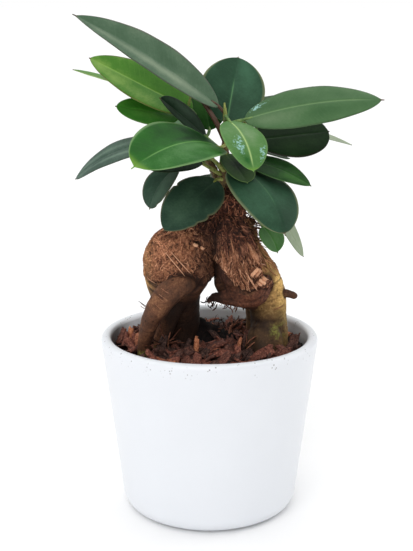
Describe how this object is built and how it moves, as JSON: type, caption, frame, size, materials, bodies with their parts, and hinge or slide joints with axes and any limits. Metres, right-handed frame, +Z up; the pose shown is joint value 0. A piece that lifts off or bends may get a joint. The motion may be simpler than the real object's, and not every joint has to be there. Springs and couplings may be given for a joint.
{
  "type": "potted ginseng ficus bonsai",
  "caption": "Ginseng ficus bonsai with swollen bare roots, a shaggy neck and broad leathery leaves, in a plain white glazed pot topped with bark mulch.",
  "frame": {"origin": "centre of the pot's flat base, on the surface that it stands on", "axes": "+Z up; the side that the picture shows faces -Y, and its right is +X"},
  "size_m": [0.1776, 0.1343, 0.2921],
  "materials": {
    "glaze": "gloss",
    "soil": "matte",
    "mulch": "matte",
    "bark": "satin",
    "greenwood": "satin",
    "dark_leaf": "satin",
    "mid_leaf": "satin",
    "young_leaf": "satin"
  },
  "bodies": {
    "root": {"pot": "glaze", "soil": "soil", "bark_mulch": "mulch", "roots_and_neck": "bark", "graft_stems": "greenwood", "leaf_top_left": "mid_leaf", "leaf_young_left": "young_leaf", "leaf_thin_left": "young_leaf", "leaf_small_left": "young_leaf", "leaf_dark_left": "dark_leaf", "leaf_broad_left": "mid_leaf", "leaf_far_left": "mid_leaf", "leaf_shaded_left": "dark_leaf", "leaf_low_left": "dark_leaf", "leaf_front_left": "dark_leaf", "leaf_right_large": "mid_leaf", "leaf_top_centre": "dark_leaf", "leaf_centre_front": "mid_leaf", "leaf_centre_low": "dark_leaf", "leaf_right_dark": "dark_leaf", "leaf_right_far": "young_leaf", "leaf_right_small": "dark_leaf", "leaf_right_tuck": "dark_leaf", "leaf_front_right": "dark_leaf", "leaf_low_right": "young_leaf", "leaf_low_far_right": "young_leaf", "leaf_back_up": "dark_leaf", "leaf_back_left": "dark_leaf", "leaf_back_right": "dark_leaf", "leaf_back_low": "dark_leaf", "leaf_back_droop": "dark_leaf"}
  },
  "joints": []
}
